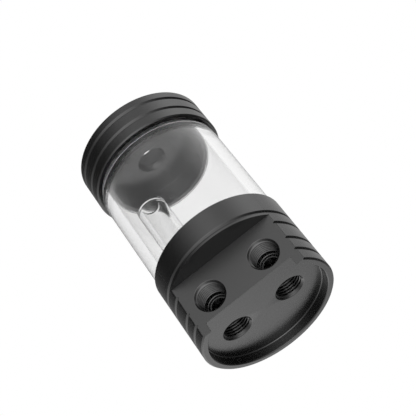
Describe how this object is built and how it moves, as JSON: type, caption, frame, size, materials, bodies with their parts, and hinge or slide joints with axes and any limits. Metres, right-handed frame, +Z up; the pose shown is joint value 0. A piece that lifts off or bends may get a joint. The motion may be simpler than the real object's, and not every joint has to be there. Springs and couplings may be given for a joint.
{
  "type": "tube reservoir",
  "caption": "Upright tube reservoir for a cooling loop: black grooved base with a ported flat, clear tube, screw-on cap and inner standpipe.",
  "frame": {"origin": "centre of the base rim, where the reservoir stands", "axes": "+Z up along the tube's axis, the ported flat facing -Y"},
  "size_m": [0.063, 0.063, 0.1106],
  "materials": {
    "anodised_base": "black anodised, fine turned",
    "anodised_cap": "black anodised, fine turned",
    "clear_tube": "polished clear acrylic",
    "clear_pipe": "polished clear acrylic",
    "seal_rubber": "smooth black nitrile"
  },
  "bodies": {
    "base": {"port_block": "anodised_base"},
    "tube_rise": {"tube_seal": "seal_rubber"},
    "tube_turn": {"tube": "clear_tube"},
    "cap_rise": {"cap_seal": "seal_rubber"},
    "cap_turn": {"top_cap": "anodised_cap"},
    "pipe_rise": {"standpipe_seal": "seal_rubber"},
    "pipe_turn": {"standpipe": "clear_pipe"}
  },
  "joints": [
    {"name": "tube_lift", "type": "slide", "parent": "base", "child": "tube_rise", "axis": [0, 0, 1], "range_m": [0, 0.0084]},
    {"name": "tube_screw", "type": "hinge", "parent": "tube_rise", "child": "tube_turn", "pos_m": [0, 0, 0.035], "axis": [0, 0, 1], "range_deg": [0, 2016]},
    {"name": "cap_lift", "type": "slide", "parent": "tube_turn", "child": "cap_rise", "axis": [0, 0, 1], "range_m": [0, 0.0051]},
    {"name": "cap_screw", "type": "hinge", "parent": "cap_rise", "child": "cap_turn", "pos_m": [0, 0, 0.095], "axis": [0, 0, 1], "range_deg": [0, 1224]},
    {"name": "pipe_lift", "type": "slide", "parent": "base", "child": "pipe_rise", "axis": [0, 0, 1], "range_m": [0, 0.00668]},
    {"name": "pipe_screw", "type": "hinge", "parent": "pipe_rise", "child": "pipe_turn", "pos_m": [-0.0134, 0, 0.026], "axis": [0, 0, 1], "range_deg": [0, 1800]}
  ],
  "couplings": [
    {"joint": "tube_lift", "follows": "tube_screw", "m_per_rad": 0.00023873},
    {"joint": "cap_lift", "follows": "cap_screw", "m_per_rad": 0.00023873},
    {"joint": "pipe_lift", "follows": "pipe_screw", "m_per_rad": 0.00021277}
  ]
}
